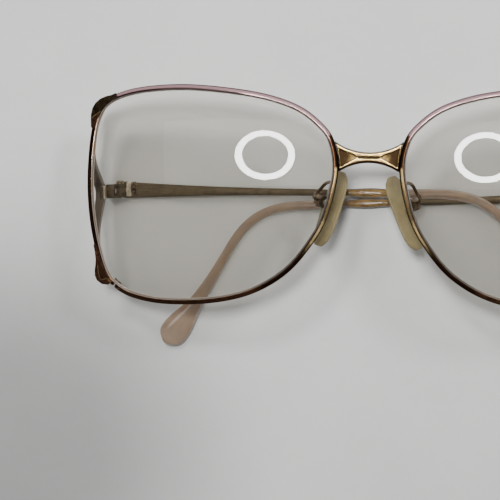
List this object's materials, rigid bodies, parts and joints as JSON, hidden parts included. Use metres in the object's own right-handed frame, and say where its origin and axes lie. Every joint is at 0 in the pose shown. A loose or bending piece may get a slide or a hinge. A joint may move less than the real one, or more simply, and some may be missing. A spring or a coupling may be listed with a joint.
{
  "type": "eyeglass frame",
  "caption": "Oversize square metal eyeglass frame with clear lenses, sculpted bridge, forked end pieces, nose pads on wire arms and folding temples with plastic tips.",
  "frame": {"origin": "on the surface the folded frame lies on, under the middle of its box", "axes": "+X along the width to the viewer's right, +Y up the face, +Z out of the lens fronts, away from the table"},
  "size_m": [0.1334, 0.0678, 0.0249],
  "materials": {
    "bronze_metal": "glossy dark bronze lacquer over metal",
    "gold_metal": "polished pale gold plate, satin on the blades",
    "rose_enamel": "glossy dusty rose enamel",
    "screw_metal": "plain turned screws",
    "lens_clear": "clear, polished",
    "tip_plastic": "glossy translucent pinkish beige",
    "pad_silicone": "yellowed translucent, soft gloss"
  },
  "bodies": {
    "front": {"rim_left": "bronze_metal", "rim_right": "bronze_metal", "lens_left": "lens_clear", "lens_right": "lens_clear", "enamel_left": "rose_enamel", "enamel_right": "rose_enamel", "bridge": "gold_metal", "yoke_left": "bronze_metal", "yoke_right": "bronze_metal", "closing_block_left": "bronze_metal", "closing_block_right": "bronze_metal", "closing_screw_left": "screw_metal", "closing_screw_right": "screw_metal", "hinge_front_left": "bronze_metal", "hinge_front_right": "bronze_metal", "hinge_screw_left": "screw_metal", "hinge_screw_right": "screw_metal", "pad_arm_left": "bronze_metal", "pad_arm_right": "bronze_metal", "pad_box_left": "bronze_metal", "pad_box_right": "bronze_metal", "pad_screw_left": "screw_metal", "pad_screw_right": "screw_metal"},
    "temple_left": {"temple_left": "gold_metal", "hinge_temple_left": "gold_metal", "tip_left": "tip_plastic"},
    "pad_left": {"nose_pad_left": "pad_silicone"},
    "temple_right": {"temple_right": "gold_metal", "hinge_temple_right": "gold_metal", "tip_right": "tip_plastic"},
    "pad_right": {"nose_pad_right": "pad_silicone"}
  },
  "joints": [
    {"name": "temple_left_hinge", "type": "hinge", "parent": "front", "child": "temple_left", "pos_m": [-0.0607, 0.00704, 0.00676], "axis": [0, 1, 0], "range_deg": [0, 91.2]},
    {"name": "temple_right_hinge", "type": "hinge", "parent": "front", "child": "temple_right", "pos_m": [0.0607, 0.00704, 0.00676], "axis": [0, -1, 0], "range_deg": [0, 88.9]},
    {"name": "pad_left_rock", "type": "hinge", "parent": "front", "child": "pad_left", "pos_m": [-0.01099, 0.006, 0.01309], "axis": [0.515, 0, 0.8572], "range_deg": [-8, 8]},
    {"name": "pad_right_rock", "type": "hinge", "parent": "front", "child": "pad_right", "pos_m": [0.01031, 0.00543, 0.01298], "axis": [-0.515, 0, 0.8572], "range_deg": [-8, 8]}
  ]
}
